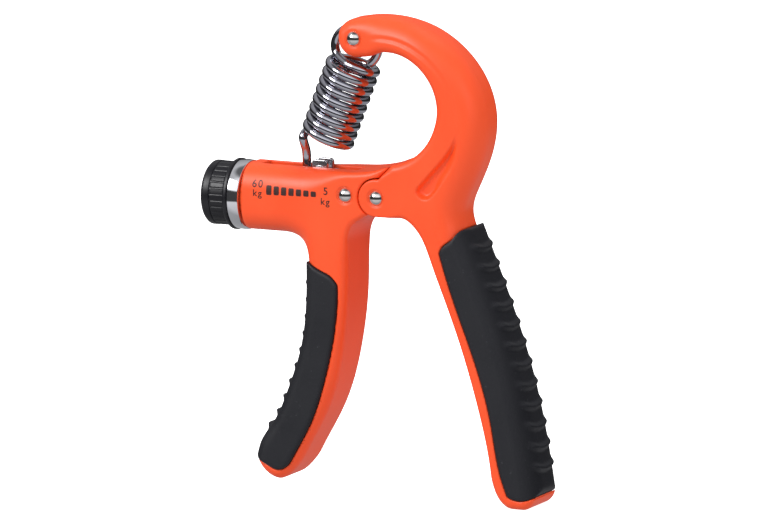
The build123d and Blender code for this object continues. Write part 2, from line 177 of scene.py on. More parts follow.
REAR_BACK = [(27.4, -3.5), (28.7, -9.0), (36.4, -25.7), (43.4, -44.1), (48.7, -62.3),
             (52.4, -80.6), (53.5, -89.0)]
REAR_FRONT = [(7.5, -5.9), (12.6, -8.6), (17.9, -17.8), (28.2, -43.5), (35.0, -65.3),
              (39.2, -86.0)]
REAR_GRIP_BACK = [(30.5, -8.6), (37.5, -25.7), (44.4, -44.1), (49.7, -62.3), (53.4, -80.6),
                  (54.5, -87.2)]
FRONT_INNER = [(-10.2, -15.0), (-10.4, -32.0), (-12.2, -48.5), (-17.5, -68.0), (-26.1, -84.2)]
FRONT_OUTER = [(-39.6, -79.5), (-34.8, -71.5), (-30.7, -62.0), (-27.2, -51.0), (-25.2, -40.0),
               (-24.2, -28.0), (-24.4, -20.0)]
FRONT_GRIP_OUTER = [(-41.6, -83.2), (-40.7, -80.2), (-36.1, -73.1), (-32.1, -64.8), (-29.2, -57.0),
                    (-27.0, -49.9), (-25.7, -42.9), (-24.9, -31.5), (-24.9, -21.9)]


def rear_back():
    """The outer side of the rear arm: hook, arch and the back of the handle."""
    crown = [on_circle(HOOK_AT, HOOK_ROUND, 100), (-1.2, 56.2), (10.9, 54.6), (24.3, 47.2),
             (33.3, 34.8), (35.4, 22.8), (33.0, 11.6), (29.5, 3.4)]
    return smooth_run(crown + REAR_BACK, (1, 0.17), (0.1, -1))


def rear_outline():
    foot = smooth_run([REAR_BACK[-1], (52.6, -92.6), (49.5, FOOT)], (0.1, -1), (-1, 0))
    heel = smooth_run([(46.0, FOOT), (41.3, -91.6), REAR_FRONT[-1]], (-1, 0), (-0.1, 1))
    front = smooth_run(REAR_FRONT[::-1], (-0.1, 1), (-1, 0))
    ear = arc(PIVOT_AT, EAR_RADIUS, 270, 82)
    arch = arc(ARCH_CENTRE, ARCH_RADIUS, -81.7, 92)
    under = smooth_run([arch[-1], (-4.0, 43.6), on_circle(HOOK_AT, HOOK_ROUND, 280)],
                       (-1, 0.03), (-1, -0.17))
    tip = arc(HOOK_AT, HOOK_ROUND, 280, 100)
    return loop(rear_back(), foot, heel, front, ear, arch, under, tip)


def front_outer():
    """The outer side of the front handle, under the fingers."""
    toe = [(-34.9, -91.4), (-40.2, -88.0), (-41.8, -83.7)]
    return smooth_run(toe + FRONT_OUTER + [(-27.3, -15.6), (-34.0, BARREL_BOTTOM)],
                      (-1, 0.2), (-1, 0))


def front_outline():
    """The barrel runs on past its end here, so that only its long edges are rounded."""
    beyond = BARREL_END - 20
    shoulder = smooth_run([(-12.0, BARREL_TOP), (-4.0, 7.9), (4.6, 10.3)], (1, 0), (1, 0.4))
    armpit = smooth_run([(-1.8, -5.2), (-4.6, -6.5), (-8.4, -9.2), FRONT_INNER[0]], (-1, -0.1), (0, -1))
    inner = smooth_run(FRONT_INNER, (0, -1), (-0.45, -0.9))
    toe = smooth_run([FRONT_INNER[-1], (-29.7, -88.8), (-34.9, -91.4)], (-0.5, -0.85), (-1, 0.2))
    end = [(beyond, BARREL_BOTTOM), (beyond, BARREL_TOP)]
    return loop(shoulder, [(0.2, 5.7)], armpit, inner, toe, front_outer(), end)


def rear_grip_outline():
    face = [(45.0, -90.4), (42.8, -84.5), (39.4, -68.0), (32.4, -45.0), (25.4, -26.9), (21.8, -16.0)]
    low = smooth_run([REAR_GRIP_BACK[-1], (53.9, -89.6), (51.0, -91.2), face[0]], (0.1, -1), (-0.8, 0.5))
    crest = smooth_run([face[-1], (22.7, -13.7), (26.2, -10.8), (29.2, -8.0), REAR_GRIP_BACK[0]],
                       (-0.1, 1), (0.5, -0.85))
    return loop(smooth_run(REAR_GRIP_BACK), low, smooth_run(face), crest)


def front_grip_outline():
    crest = smooth_run([FRONT_GRIP_OUTER[-1], (-21.6, -22.8), (-18.5, -24.3), (-15.3, -25.8),
                        (-13.1, -28.3)], (1, 0.1), (0.6, -1))
    face = smooth_run([crest[-1], (-12.9, -31.1), (-13.9, -42.2), (-17.3, -58.2), (-21.7, -71.1),
                       (-28.8, -84.3)], (0.3, -1), (-0.5, -0.9))
    low = smooth_run([face[-1], (-30.3, -86.5), (-33.4, -88.2), (-37.3, -86.8), FRONT_GRIP_OUTER[0]],
                     (-0.5, -0.9), (0, 1))
    return loop(smooth_run(FRONT_GRIP_OUTER), crest, face, low)


TAIL, HEEL = (29.0, 27.0), (13.2, 3.6)


def recess_inner():
    return smooth_run([TAIL, (24.8, 17.2), (18.9, 10.0), HEEL], (-0.3, -1), (-0.7, -0.8))


def recess_outer():
    return smooth_run([HEEL, (16.4, 0.5), (21.0, 3.7), (26.8, 12.0), TAIL], (0, -1), (0.05, 1))


def beyond(run, across):
    """A region with this run as one side: longer at both ends, and reaching well across."""
    first = run[0] + (run[0] - run[1]) / np.linalg.norm(run[0] - run[1]) * 15
    last = run[-1] + (run[-1] - run[-2]) / np.linalg.norm(run[-1] - run[-2]) * 15
    return loop([first], run, [last], [last + (across, 0), first + (across, 0)])


# Distances to outlines

def measure(x, z, run):
    """Distance to a run of short lines, and how far along the run the nearest point is."""
    best, along, before = np.full(x.shape, 1e9), np.zeros(x.shape), 0.0
    for start, end in zip(run[:-1], run[1:]):
        step = end - start
        length = math.hypot(*step)
        if length == 0:
            continue
        t = np.clip(((x - start[0]) * step[0] + (z - start[1]) * step[1]) / length ** 2, 0, 1)
        gap = np.hypot(x - start[0] - t * step[0], z - start[1] - t * step[1])
        closer = gap < best
        best, along = np.where(closer, gap, best), np.where(closer, before + t * length, along)
        before += length
    return best, along


def inside(x, z, outline):
    hit = np.zeros(x.shape, bool)
    for (x0, z0), (x1, z1) in zip(outline[:-1], outline[1:]):
        if z0 != z1:
            across = x < x0 + (z - z0) * (x1 - x0) / (z1 - z0)
            hit ^= ((z0 > z) != (z1 > z)) & across
    return hit


def depth(outline):
    """A function of X and Z for distance to a closed outline, negative inside."""
    def value(x, z):
        gap = measure(x, z, outline)[0]
        return np.where(inside(x, z, outline), -gap, gap)
    return value


class Table:
    """A function of X and Z held on a grid, softened a little and read by cubic steps."""

    def __init__(self, value, run, margin=8.0, gap=0.4):
        self.low, self.gap = run.min(0) - margin, gap
        axes = [np.arange(a, b + gap, gap) for a, b in zip(self.low, run.max(0) + margin)]
        held = value(*np.meshgrid(*axes, indexing="ij"))
        held[1:-1] = held[1:-1] / 2 + (held[:-2] + held[2:]) / 4
        held[:, 1:-1] = held[:, 1:-1] / 2 + (held[:, :-2] + held[:, 2:]) / 4
        self.held = held

    def __call__(self, x, z):
        places = []
        for value, low, count in zip((x, z), self.low, self.held.shape):
            at = np.clip((value - low) / self.gap, 1, count - 2.001)
            cell = at.astype(int)
            t = at - cell
            weights = ((-t + 2 * t * t - t ** 3) / 2, (2 - 5 * t * t + 3 * t ** 3) / 2,
                       (t + 4 * t * t - 3 * t ** 3) / 2, (t ** 3 - t * t) / 2)
            places.append((cell, weights))
        (i, across), (j, up) = places
        return sum(across[a] * up[b] * self.held[i + a - 1, j + b - 1]
                   for a in range(4) for b in range(4))


# Fields

def smoothstep(value, low, high):
    t = np.clip((value - low) / (high - low), 0, 1)
    return t * t * (3 - 2 * t)


def blend(a, b, share):
    return a + (b - a) * share


def both(a, b, soft=0.15):
    """Where two fields overlap, with the edge between them softened."""
    meet = np.maximum(soft - np.abs(a - b), 0) / soft
    return np.maximum(a, b) + meet * meet * soft / 4


def either(a, b, soft=0.15):
    return -both(-a, -b, soft)


def rounded(outline, across, half, wide, deep):
    """A slab across Y whose edges are quarter ellipses, wide along the outline and deep in Y."""
    a = np.maximum(outline / wide + 1, 0)
    b = np.maximum((np.abs(across) - half) / deep + 1, 0)
    return (np.hypot(a, b) - 1) * np.minimum(wide, deep)


def rod(x, z, at, radius):
    return np.hypot(x - at[0], z - at[1]) - radius


def between(value, low, high):
    return np.maximum(low - value, value - high)


def cut_seat(body, x, y, z, at, half):
    seat = np.maximum(rod(x, z, at, SEAT_RADIUS), half - SEAT_DEPTH - np.abs(y))
    return both(body, -seat, 0.3)


def cells(field, low, high, size):
    """The field on a grid, as (axes, values)."""
    axes = [np.arange(a, b + size, size) for a, b in zip(low, high)]
    x, y, z = np.meshgrid(*axes, indexing="ij", sparse=True)
    return axes, np.broadcast_to(field(x, y, z), [len(a) for a in axes])


def slope(field, points, reach=0.05):
    """The field's gradient at points, from four samples each."""
    corners = np.array([(1, 1, 1), (1, -1, -1), (-1, 1, -1), (-1, -1, 1)]) * reach
    return sum(field(*(points + c).T)[:, None] * c for c in corners) / (4 * reach * reach)


def skin(field, low, high, size):
    """Points and four-sided faces on the surface where the field is zero."""
    axes, value = cells(field, low, high, size)
    negative = value < 0
    count = [n - 1 for n in value.shape]
    total, weight = np.zeros((*count, 3)), np.zeros(count)
    corners = [(a, b, c) for a in (0, 1) for b in (0, 1) for c in (0, 1)]
    part = lambda array, c: array[c[0]:c[0] + count[0], c[1]:c[1] + count[1], c[2]:c[2] + count[2]]
    for first in corners:
        for axis in range(3):
            if first[axis]:
                continue
            second = tuple(1 if k == axis else first[k] for k in range(3))
            a, b = part(value, first), part(value, second)
            crossed = part(negative, first) != part(negative, second)
            share = np.where(crossed, a / np.where(crossed, a - b, 1), 0)
            for k in range(3):
                total[..., k] += crossed * (first[k] + (share if k == axis else 0))
            weight += crossed
    used = weight > 0
    number = np.full(count, -1)
    number[used] = np.arange(used.sum())
    spot = np.argwhere(used) + total[used] / weight[used][:, None]
    points = np.array([a[0] for a in axes]) + spot * size
    faces = []
    for axis in range(3):
        ahead = [slice(None)] * 3
        ahead[axis] = slice(1, None)
        behind = [slice(None)] * 3
        behind[axis] = slice(None, -1)
        change = negative[tuple(ahead)] != negative[tuple(behind)]
        at = np.argwhere(change)
        u, v = (axis + 1) % 3, (axis + 2) % 3
        at = at[(at[:, u] > 0) & (at[:, v] > 0) & (at[:, u] < count[u]) & (at[:, v] < count[v])]
        corner = []
        for du, dv in ((0, 0), (1, 0), (1, 1), (0, 1)):
            near = at.copy()
            near[:, u] -= du
            near[:, v] -= dv
            corner.append(number[tuple(near.T)])
        face = np.array(corner).T
        flip = negative[tuple(at.T)]
        face[flip] = face[flip][:, ::-1]
        faces.append(face[:, ::-1])
    for _ in range(4):
        gradient = slope(field, points)
        steep = np.maximum((gradient ** 2).sum(1), 1e-3)
        step = (field(*points.T) / steep)[:, None] * gradient
        far = np.linalg.norm(step, axis=1)[:, None]
        points = points - step * np.minimum(1, size / 2 / np.maximum(far, 1e-9))
    return points, np.vstack(faces)


# Meshes

def outward(mesh):
    made = bmesh.new()
    made.from_mesh(mesh)
    bmesh.ops.recalc_face_normals(made, faces=made.faces)
    made.to_mesh(mesh)
    made.free()


def finish_mesh(name, points, faces, material, slot, nodes, body=None):
    """A piece in the frame, from points in millimetres about the pivot."""
    mesh = bpy.data.meshes.new(name)
    mesh.from_pydata(((np.asarray(points) + PIVOT) * MM).tolist(), [], [tuple(f) for f in faces])
    mesh.validate()
    outward(mesh)
    mesh.shade_smooth()
    piece = bpy.data.objects.new(name, mesh)
    bpy.context.scene.collection.objects.link(piece)
    mesh.materials.append(material)
    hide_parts(*nodes)
    if body:
        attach(piece, body)
    return piece


def sharpen(piece, degrees=35):
    """Keeps edges steeper than this crisp, and the rest smooth."""
    made = bmesh.new()
    made.from_mesh(piece.data)
    for edge in made.edges:
        turned = len(edge.link_faces) == 2 and edge.calc_face_angle(0) > math.radians(degrees)
        edge.smooth = not turned
    made.to_mesh(piece.data)
    made.free()
    return piece


def turned(profile, sides, ripple=None):
    """A closed shape turned about an axis: profile is (along, radius) from end to end.
    ripple(along, angle) is added to the radius. Points are (along, sideways, up)."""
    points, faces = [], []
    angles = np.arange(sides) * 2 * math.pi / sides
    for along, radius in profile:
        out = radius + (ripple(along, angles) if ripple else 0)
        ring = np.stack([np.full(sides, along), out * np.sin(angles), out * np.cos(angles)], 1)
        points.append(ring)
    for i in range(len(profile) - 1):
        for j in range(sides):
            k = (j + 1) % sides
            faces.append((i * sides + j, i * sides + k, (i + 1) * sides + k, (i + 1) * sides + j))
    faces.append(tuple(range(sides))[::-1])
    faces.append(tuple(range((len(profile) - 1) * sides, len(profile) * sides)))
    return np.vstack(points), faces


def hollow_turned(profile, sides, ripple=None):
    """A ring: its profile is closed, and goes round the metal."""
    points, faces = turned(profile, sides, ripple)
    faces = faces[:-2]
    last = (len(profile) - 1) * sides
    for j in range(sides):
        k = (j + 1) % sides
        faces.append((last + j, last + k, k, j))
    return points, faces


def soften(corners, radius=0.3, steps=4):
    """A profile with each corner rounded."""
    corners = np.array(corners, float)
    run = [corners[0]]
    for before, at, after in zip(corners[:-2], corners[1:-1], corners[2:]):
        a, b = before - at, after - at
        reach = min(radius, np.linalg.norm(a) / 2, np.linalg.norm(b) / 2)
        first, last = at + a / np.linalg.norm(a) * reach, at + b / np.linalg.norm(b) * reach
        for t in np.linspace(0, 1, steps):
            run.append(first * (1 - t) ** 2 + at * 2 * t * (1 - t) + last * t * t)
    run.append(corners[-1])
    return np.array(run)


def along_x(points):
    """From (along, sideways, up) to the screw's axis."""
    return points + np.array([0, 0, AXIS_Z])


def along_y(points, at):
    """From (along, sideways, up) to an axis across the arms."""
    return np.stack([at[0] - points[:, 1], points[:, 0], at[1] + points[:, 2]], 1)


def wire_rings(path, radius, sides=20):
    """Rings of points round a path, without twist."""
    way = np.gradient(path, axis=0)
    way /= np.linalg.norm(way, axis=1)[:, None]
    side = np.cross(way[0], (0.3, 0.5, 0.8))
    angles = np.arange(sides) * 2 * math.pi / sides
    rings = []
    for at, ahead in zip(path, way):
        side = side - ahead * (side @ ahead)
        side /= np.linalg.norm(side)
        up = np.cross(ahead, side)
        rings.append(at + radius * (np.cos(angles)[:, None] * side + np.sin(angles)[:, None] * up))
    return np.array(rings)


def tube(rings):
    """A closed tube through rings of points, cut flat at both ends."""
    count, sides = rings.shape[:2]
    faces = []
    for i in range(count - 1):
        for j in range(sides):
            k = (j + 1) % sides
            faces.append((i * sides + j, i * sides + k, (i + 1) * sides + k, (i + 1) * sides + j))
    faces.append(tuple(range(sides))[::-1])
    faces.append(tuple(range((count - 1) * sides, count * sides)))
    return rings.reshape(-1, 3), faces




# Materials

def material(name, color, metallic, roughness, coat=0.0, coat_roughness=0.1, sheen=0.0, ior=1.5):
    made = bpy.data.materials.new(name)
    made.use_nodes = True
    shader = made.node_tree.nodes["Principled BSDF"]
    settings = {"Base Color": (*color, 1), "Metallic": metallic, "Roughness": roughness, "IOR": ior,
                "Coat Weight": coat, "Coat Roughness": coat_roughness, "Sheen Weight": sheen}
    for socket, value in settings.items():
        shader.inputs[socket].default_value = value
    return made


def node(made, kind, **inputs):
    new = made.node_tree.nodes.new(kind)
    for name, value in inputs.items():
        new.inputs[name.replace("_", " ")].default_value = value
    return new


def link(made, start, output, end, socket):
    made.node_tree.links.new(start.outputs[output], end.inputs[socket])


def noise(made, scale, detail=3.0, roughness=0.5, stretch=(1, 1, 1)):
    """Noise over the object's own metres; scale is cycles per metre."""
    place = node(made, "ShaderNodeTexCoord")
    mapping = node(made, "ShaderNodeMapping", Scale=stretch)
    texture = node(made, "ShaderNodeTexNoise", Scale=scale, Detail=detail, Roughness=roughness)
    link(made, place, "Object", mapping, "Vector")
    link(made, mapping, "Vector", texture, "Vector")
    return texture


def ramp(made, source, output, low, high, at=(0.3, 0.7)):
    """Maps a value to a colour or grey between low and high."""
    new = node(made, "ShaderNodeValToRGB")
    for element, place, value in zip(new.color_ramp.elements, at, (low, high)):
        element.position = place
        element.color = (*value, 1) if isinstance(value, tuple) else (value, value, value, 1)
    link(made, source, output, new, "Fac")
    return new


def bumps(made, source, output, distance, strength=1.0, under=None):
    new = node(made, "ShaderNodeBump", Strength=strength, Distance=distance)
    link(made, source, output, new, "Height")
    if under:
        link(made, under, "Normal", new, "Normal")
    return new


def shade(made, color=None, roughness=None, normal=None):
    shader = made.node_tree.nodes["Principled BSDF"]
    if color:
        link(made, color, "Color", shader, "Base Color")
    if roughness:
        link(made, roughness, "Color", shader, "Roughness")
    if normal:
        link(made, normal, "Normal", shader, "Normal")
    return made


def orange_plastic():
    """Satin moulding: faint flow marks, fine texture and slightly uneven gloss."""
    made = material("orange_plastic", (0.93, 0.085, 0.014), 0, 0.4)
    shader = made.node_tree.nodes["Principled BSDF"]
    shader.inputs["Subsurface Weight"].default_value = 0.06
    shader.inputs["Subsurface Radius"].default_value = (0.004, 0.001, 0.0004)
    flow = noise(made, 45, 4, stretch=(1, 1, 0.5))
    grain = noise(made, 5200, 2)
    tint = ramp(made, flow, "Fac", (0.90, 0.076, 0.012), (0.96, 0.090, 0.016))
    gloss = ramp(made, flow, "Fac", 0.36, 0.46)
    return shade(made, tint, gloss, bumps(made, grain, "Fac", 0.00003, 0.35))


def black_rubber():
    """Matte rubber with a fine grain, and dust specks that catch the light."""
    made = material("black_rubber", (0.009, 0.0095, 0.014), 0, 0.55, sheen=0.03)
    made.node_tree.nodes["Principled BSDF"].inputs["Sheen Roughness"].default_value = 0.4
    specks = noise(made, 900, 2, 0.7)
    patch = noise(made, 90, 3)
    grain = noise(made, 3800, 3)
    tint = ramp(made, specks, "Fac", (0.0075, 0.008, 0.012), (0.05, 0.051, 0.06), at=(0.68, 0.82))
    gloss = ramp(made, patch, "Fac", 0.48, 0.62)
    return shade(made, tint, gloss, bumps(made, grain, "Fac", 0.00006, 0.55))


def black_plastic():
    """Glossy moulding with faint handling marks."""
    made = material("black_plastic", (0.006, 0.006, 0.009), 0, 0.28)
    marks = noise(made, 400, 4, stretch=(1, 0.3, 0.3))
    gloss = ramp(made, marks, "Fac", 0.34, 0.42)
    return shade(made, None, gloss, bumps(made, marks, "Fac", 0.00002, 0.3))


def bright_metal(name, color, low, high, stretch, fine):
    """Plated metal with fine lines along its finish."""
    made = material(name, color, 1, low)
    lines = noise(made, fine, 3, stretch=stretch)
    cloud = noise(made, 120, 2)
    return shade(made, None, ramp(made, cloud, "Fac", low, high),
                 bumps(made, lines, "Fac", 0.000004, 0.25))


def metals():
    return {
        "chrome_trim": bright_metal("chrome_trim", (0.86, 0.87, 0.89), 0.05, 0.10, (8, 1, 1), 900),
        "spring_steel": bright_metal("spring_steel", (0.50, 0.50, 0.55), 0.05, 0.12, (1, 1, 1), 1500),
        "rivet_steel": bright_metal("rivet_steel", (0.78, 0.76, 0.73), 0.07, 0.14, (1, 1, 1), 1800),
        "zinc_steel": bright_metal("zinc_steel", (0.62, 0.63, 0.66), 0.16, 0.34, (1, 1, 1), 700),
    }


def nylon():
    made = material("nylon", (0.72, 0.70, 0.64), 0, 0.45)
    cloud = noise(made, 300, 3)
    return shade(made, ramp(made, cloud, "Fac", (0.68, 0.66, 0.6), (0.76, 0.74, 0.68)), None,
                 bumps(made, cloud, "Fac", 0.00002, 0.3))


def scale_ink():
    made = material("scale_ink", (0.03, 0.012, 0.01), 0, 0.5)
    wear = noise(made, 2500, 3)
    return shade(made, ramp(made, wear, "Fac", (0.022, 0.010, 0.010), (0.07, 0.018, 0.012)), None,
                 bumps(made, wear, "Fac", 0.00001, 0.3))


# The two mouldings and their grips

BACK = rear_back()
OUTER = front_outer()
REAR = Table(depth(rear_outline()), rear_outline())
FRONT = Table(depth(front_outline()), front_outline())
REAR_GRIP = Table(depth(rear_grip_outline()), rear_grip_outline())
FRONT_GRIP = Table(depth(front_grip_outline()), front_grip_outline())
TO_BACK = Table(lambda x, z: measure(x, z, BACK)[0], rear_outline())
TO_OUTER = Table(lambda x, z: measure(x, z, OUTER)[0], front_outline())
RECESS = Table(depth(loop(recess_inner(), recess_outer())), loop(recess_inner(), recess_outer()))
RECESS_INNER = Table(lambda x, z: measure(x, z, recess_inner())[0], recess_inner())
RECESS_OUTER = Table(lambda x, z: measure(x, z, recess_outer())[0], recess_outer())
REAR_RUBBER_BACK = smooth_run(REAR_GRIP_BACK)
FRONT_RUBBER_OUTER = smooth_run(FRONT_GRIP_OUTER[::-1])
REAR_SIDE = Table(depth(beyond(REAR_RUBBER_BACK, -60)), rear_grip_outline())
FRONT_SIDE = Table(depth(beyond(FRONT_RUBBER_OUTER, 60)), front_grip_outline())
REAR_ALONG = Table(lambda x, z: measure(x, z, REAR_RUBBER_BACK)[1], rear_grip_outline())
FRONT_ALONG = Table(lambda x, z: measure(x, z, FRONT_RUBBER_OUTER)[1], front_grip_outline())


def loop_centre(tilt):
    return on_circle(HOOK_AT, 3.45, -90 - tilt)


def rear_arm(x, y, z):
    outline = REAR(x, z)
    hook = smoothstep(x, 2.0, -8.0)
    upper = smoothstep(z, 20.0, 30.0)
    thin = upper * (1.3 * smoothstep(x, 17.0, -1.0) + 1.7 * hook)
    recess = smoothstep(-RECESS(x, z), 0.0, 0.3)
    gentle = blend(1.5, 3.4, smoothstep(z, 3.0, 9.0))
    dish = smoothstep(RECESS_INNER(x, z), 0.0, 1.2) * smoothstep(RECESS_OUTER(x, z) / gentle, 0.0, 1.0)
    half = HALF_THICK - thin - RECESS_DEPTH * recess * dish
    outer_edge = blend(blend(8.2, 8.0, upper), 4.4, hook * upper)
    inner_edge = blend(0.6, blend(2.4, 3.4, upper), smoothstep(np.hypot(x, z), 6.0, 11.0))
    inner_edge = blend(inner_edge, 1.6, smoothstep(z, -10.0, -25.0))
    edge = blend(outer_edge, inner_edge, smoothstep(TO_BACK(x, z) + outline, 1.0, 5.0))
    edge = blend(edge, 2.8, smoothstep(z, -84.0, -89.0))
    body = rounded(outline, y, half, edge, edge)
    ears = np.maximum(rod(x, z, PIVOT_AT, POCKET_RADIUS), np.abs(y) - EAR_GAP_HALF)
    body = both(body, -ears)
    for tilt in (14, 21, 34):
        slot = np.maximum(rod(x, z, loop_centre(tilt), 8.3), np.abs(y) - HOOK_SLOT_HALF)
        body = both(body, -slot, 0.4)
    body = cut_seat(body, x, y, z, PIVOT_AT, HALF_THICK)
    body = cut_seat(body, x, y, z, HOOK_AT, HOOK_HALF_THICK)
    return both(body, -rubber_room(REAR_GRIP(x, z), REAR_SIDE(x, z), y))


def rubber_room(outline, side, y):
    """The space that a grip fills: all of its outline, but for the plastic core."""
    core = np.maximum(side + PLASTIC_UNDER, np.abs(y) - CORE_HALF)
    return np.maximum(outline - SEAM, -core)


def ridge(along, first, pitch, count, climb, fall):
    """Evenly spaced ridges: each rises over climb and drops over fall."""
    at = (along - first) / pitch
    near = np.clip(np.round(at), 0, count - 1)
    away = (at - near) * pitch
    return smoothstep(away, -climb, 0) * smoothstep(away, fall, 0)


def rubber(outline, side, y, swell, wide, deep):
    """A grip: well rounded along its outer side, with a small edge elsewhere. swell raises its ribs."""
    half = HALF_THICK + RUBBER_PROUD
    outer = rounded(side - swell, y, half, wide, deep)
    rim = rounded(outline - swell, y, half, GRIP_RIM, GRIP_RIM)
    body = both(outer, rim, 0.3)
    core = np.maximum(side + PLASTIC_UNDER, np.abs(y) - CORE_HALF)
    return both(body, -core)


def rear_grip(x, y, z):
    side = REAR_SIDE(x, z)
    across = smoothstep(np.abs(y), 7.9, 5.2) * smoothstep(side, -5.0, -1.5)
    ribs = ridge(REAR_ALONG(x, z) + 0.03 * y * y, 6.5, 6.42, 12, 1.8, 1.6)
    return rubber(REAR_GRIP(x, z), side, y, 0.95 * ribs * across, 6.5, 8.0)


def front_grip(x, y, z):
    side, along = FRONT_SIDE(x, z), FRONT_ALONG(x, z)
    across = smoothstep(np.abs(y), 7.7, 5.2) * smoothstep(side, -4.0, -1.0)
    height = blend(1.15, 1.6, smoothstep(along, 10.0, 55.0))
    ribs = ridge(along, 6.8, 5.42, 10, 1.9, 1.9)
    return rubber(FRONT_GRIP(x, z), side, y, height * ribs * across, 4.6, 4.6)


def front_arm(x, y, z):
    outline = FRONT(x, z)
    handle = smoothstep(z, -12.0, -22.0)
    inner_edge = blend(3.0, 4.4, smoothstep(z, -30.0, -70.0))
    handle_edge = blend(4.0, inner_edge, smoothstep(TO_OUTER(x, z) + outline, 1.0, 4.0))
    barrel_edge = blend(BARREL_ROUND, 1.8, smoothstep(x, -26.0, -9.0))
    edge = blend(barrel_edge, handle_edge, handle)
    body = both(rounded(outline, y, HALF_THICK, edge, edge), BARREL_END - x, 0.8)
    collar = np.hypot(y, z - AXIS_Z)
    collar = np.maximum(between(collar, 6.0, 9.5), between(x, RING_END + 0.05, BARREL_END + 1))
    body = either(body, collar)
    body = both(body, -rod(x, z, PIVOT_AT, POCKET_RADIUS), 0.5)
    neck = np.maximum(between(x, -7.0, 0.0), between(z, -4.0, 4.0))
    tongue = np.maximum(np.minimum(rod(x, z, PIVOT_AT, TONGUE_RADIUS), neck), np.abs(y) - TONGUE_HALF)
    body = np.minimum(body, tongue)
    chamber = np.maximum(np.maximum(between(x, BARREL_END + 3.2, CHAMBER_END), np.abs(y) - CHAMBER_HALF),
                         between(z, CHAMBER_LOW, CHAMBER_HIGH))
    slot = np.maximum(np.maximum(between(x, SLOT_START, SLOT_END), np.abs(y) - SLOT_HALF),
                      CHAMBER_HIGH - 1 - z)
    body = both(body, -np.minimum(chamber, slot), 0.4)
    body = cut_seat(body, x, y, z, BEARING_AT, HALF_THICK)
    return both(body, -rubber_room(FRONT_GRIP(x, z), FRONT_SIDE(x, z), y))


def moulding(name, field, run, low_y, size, look, body):
    """One moulded piece, with a grid a little larger than its outline."""
    low, high = run.min(0) - 1.5, run.max(0) + 1.5
    points, faces = skin(field, (low[0], -low_y, low[1]), (high[0], low_y, high[1]), size)
    return finish_mesh(name + "_form", points, faces, look[0], look[1], [name], body)


# Rivets, adjuster and nut

def rivet_head(at, half, name, node_name, side, look, body):
    """A domed head with a crisp rim, on the stub of its shank."""
    base = half - SEAT_DEPTH
    ball = (HEAD_RADIUS ** 2 + HEAD_HEIGHT ** 2) / (2 * HEAD_HEIGHT)
    turn = math.asin(HEAD_RADIUS / ball)
    profile = [(0.02, 1.5), (base - 0.02, 1.5), (base - 0.02, HEAD_RADIUS - 0.08),
               (base + 0.04, HEAD_RADIUS)]
    for a in np.linspace(turn, 0.02, 16):
        profile.append((base + HEAD_HEIGHT - ball + ball * math.cos(a) + 0.02, ball * math.sin(a)))
    points, faces = turned(profile, 64)
    points = along_y(points * (side, 1, 1), at)
    faces = faces if side > 0 else [f[::-1] for f in faces]
    piece = finish_mesh(name, points, faces, look[0], look[1], [node_name], body)
    return sharpen(piece, 50)


def knob(look):
    """Ribbed knob: a plain band, thirty-two ribs, a flange and a hub."""
    ribs = lambda along, angle: (0.18 * smoothstep(along, RIB_START, RIB_START + 0.5)
                                 * smoothstep(along, RIB_END, RIB_END - 0.3)
                                 * smoothstep(np.cos(angle * RIB_COUNT), -0.9, -0.3))
    floor = KNOB_RADIUS - 0.25
    outer = [(KNOB_END + 1.4, 7.45), (KNOB_END, 7.45), (KNOB_END, KNOB_RADIUS - 0.9),
             (KNOB_END + 0.9, KNOB_RADIUS), (RIB_START - 0.15, KNOB_RADIUS), (RIB_START, floor)]
    band = [(along, floor) for along in np.arange(RIB_START + 0.1, RIB_END, 0.2)]
    flange = [(RIB_END, floor), (RIB_END + 0.1, FLANGE_RADIUS - 0.35), (RIB_END + 0.5, FLANGE_RADIUS),
              (FLANGE_END - 0.1, FLANGE_RADIUS), (FLANGE_END, FLANGE_RADIUS - 0.2),
              (FLANGE_END, RING_BORE - 0.02),
              (RING_END, RING_BORE - 0.02), (RING_END, 3.1), (KNOB_END + 1.4, 3.1)]
    profile = np.vstack([soften(outer, 0.35), band, soften(flange, 0.25), [outer[0]]])[:-1]
    points, faces = hollow_turned(profile, RIB_COUNT * 10, ribs)
    piece = finish_mesh("adjuster_knob", along_x(points), faces, *look, ["knob"], "adjuster")
    return sharpen(piece, 40)


def knob_cover(look):
    """Dished cover in the knob's end, with a raised rim and a centre boss."""
    face = KNOB_END + 0.25
    profile = [(face + 1.0, 0.05), (face + 1.0, 7.35), (face, 7.35), (face, 6.7), (face + 0.45, 6.2),
               (face + 0.45, 2.2), (face + 0.1, 1.9), (face + 0.1, 0.05)]
    points, faces = turned(soften(profile, 0.2), 96)
    faces = [f[::-1] for f in faces]
    piece = finish_mesh("knob_cover", along_x(points), faces, *look, ["knob_cap"], "adjuster")
    return sharpen(piece, 40)


def trim_ring(look):
    """Chrome ring with softly rounded shoulders and a slight crown."""
    low, high, middle = FLANGE_END + 0.02, RING_END - 0.02, (FLANGE_END + RING_END) / 2
    profile = [(low, RING_BORE), (low, RING_RADIUS), (middle, RING_RADIUS + 0.08), (high, RING_RADIUS),
               (high, RING_BORE), (middle, RING_BORE), (low, RING_BORE)]
    points, faces = hollow_turned(soften(profile, 0.45, 6)[:-1], 128)
    piece = finish_mesh("chrome_ring", along_x(points), faces, *look, ["trim_ring"], "adjuster")
    return sharpen(piece, 40)


